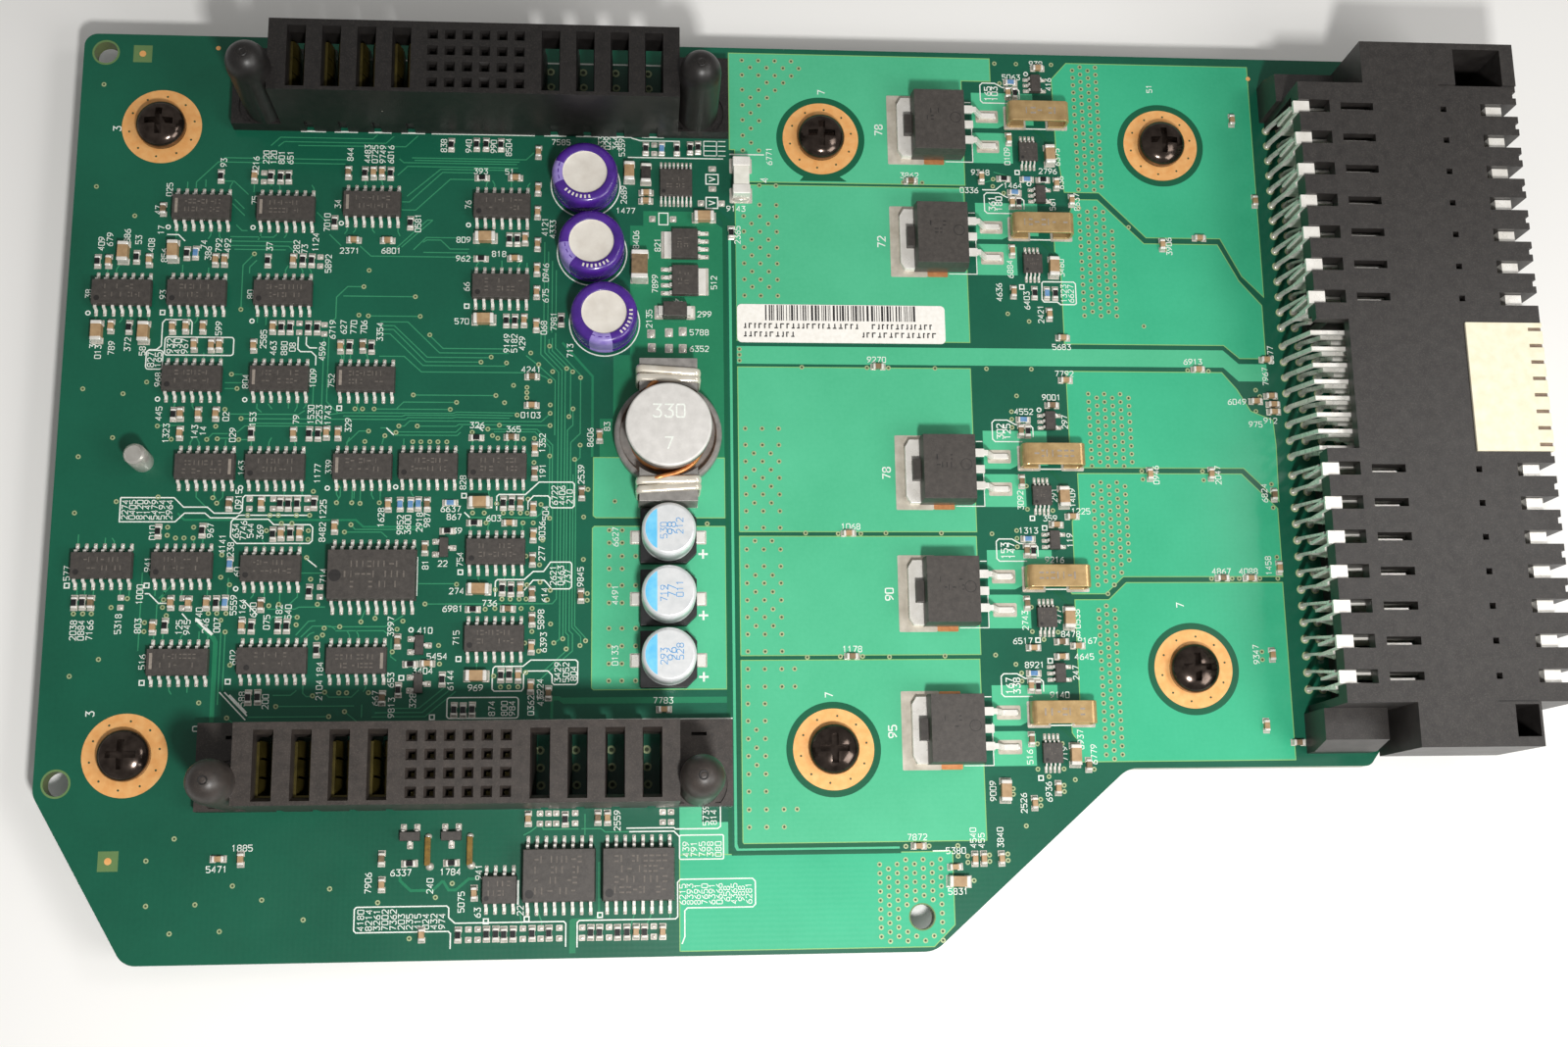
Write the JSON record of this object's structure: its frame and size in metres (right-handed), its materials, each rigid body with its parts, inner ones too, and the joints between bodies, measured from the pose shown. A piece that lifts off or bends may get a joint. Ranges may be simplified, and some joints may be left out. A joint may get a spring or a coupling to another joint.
{
  "type": "power supply backplane board",
  "caption": "Green circuit board that joins plug-in power supplies to a server: upright blade sockets, a right-angle output connector, power and logic parts.",
  "frame": {"origin": "centre of the four-screw rectangle, on the underside of the laminate", "axes": "+X towards the right-angle output connector, +Y towards the upper socket, +Z out of the component side"},
  "size_m": [0.2194, 0.1395, 0.0264],
  "materials": {
    "solder_mask": "glossy green solder mask over laminate",
    "black_steel": "black oxide steel",
    "pin_metal": "plated turned pin",
    "black_housing": "moulded black thermoplastic",
    "brass_contact": "gold flashed copper alloy",
    "tinned_contact": "tin plated copper alloy",
    "cream_insert": "moulded cream thermoplastic",
    "purple_sleeve": "shrunk purple sleeve with a bare top",
    "lead_wire": "tinned wire",
    "aluminium_can": "drawn can with a blue printed mark",
    "base_plastic": "moulded black base",
    "ferrite": "ground grey ferrite",
    "copper_wire": "enamelled copper",
    "epoxy_case": "moulded dark epoxy",
    "tin_lead": "tin plated leadframe",
    "shunt_alloy": "resistance alloy strip",
    "white_ceramic": "white ceramic",
    "ceramic_brown": "fired ceramic with tinned ends",
    "resistor_black": "glazed black with tinned ends",
    "resistor_blue": "glazed blue with tinned ends",
    "bead_dark": "fired ferrite with tinned ends",
    "bar_amber": "amber moulded bar",
    "label_paper": "printed paper label"
  },
  "bodies": {
    "root": {"circuit_board": "solder_mask", "mounting_screws": "black_steel", "locating_pin": "pin_metal", "upper_socket_housing": "black_housing", "upper_socket_power_contacts": "brass_contact", "upper_socket_signal_contacts": "brass_contact", "lower_socket_housing": "black_housing", "lower_socket_power_contacts": "brass_contact", "lower_socket_signal_contacts": "brass_contact", "output_connector_housing": "black_housing", "output_connector_signal_insert": "cream_insert", "output_connector_upper_power_contacts": "tinned_contact", "output_connector_lower_power_contacts": "tinned_contact", "output_connector_signal_contacts": "tinned_contact", "sleeved_capacitor_cans": "purple_sleeve", "sleeved_capacitor_leads": "lead_wire", "filter_capacitor_cans": "aluminium_can", "filter_capacitor_bases": "base_plastic", "filter_capacitor_terminals": "tin_lead", "inductor_core": "ferrite", "inductor_winding": "copper_wire", "inductor_wire_ends": "tin_lead", "power_transistor_bodies": "epoxy_case", "power_transistor_tabs": "tin_lead", "power_transistor_leads": "tin_lead", "current_shunts": "shunt_alloy", "fuse_body": "white_ceramic", "fuse_end_caps": "tin_lead", "rectifier_diode_body": "epoxy_case", "rectifier_diode_terminals": "tin_lead", "switch_transistor_bodies": "epoxy_case", "switch_transistor_leads": "tin_lead", "logic_chip_bodies": "epoxy_case", "logic_chip_leads": "tin_lead", "wide_chip_bodies": "epoxy_case", "wide_chip_leads": "tin_lead", "controller_chip_body": "epoxy_case", "controller_chip_leads": "tin_lead", "monitor_chip_bodies": "epoxy_case", "monitor_chip_leads": "tin_lead", "amplifier_chip_bodies": "epoxy_case", "amplifier_chip_leads": "tin_lead", "small_transistor_bodies": "epoxy_case", "small_transistor_leads": "tin_lead", "small_ceramic_capacitors": "ceramic_brown", "large_ceramic_capacitors": "ceramic_brown", "bulk_ceramic_capacitor": "ceramic_brown", "chip_resistors": "resistor_black", "film_resistors": "resistor_blue", "ferrite_bead": "bead_dark", "test_point_bars": "bar_amber", "identification_label": "label_paper"}
  },
  "joints": []
}
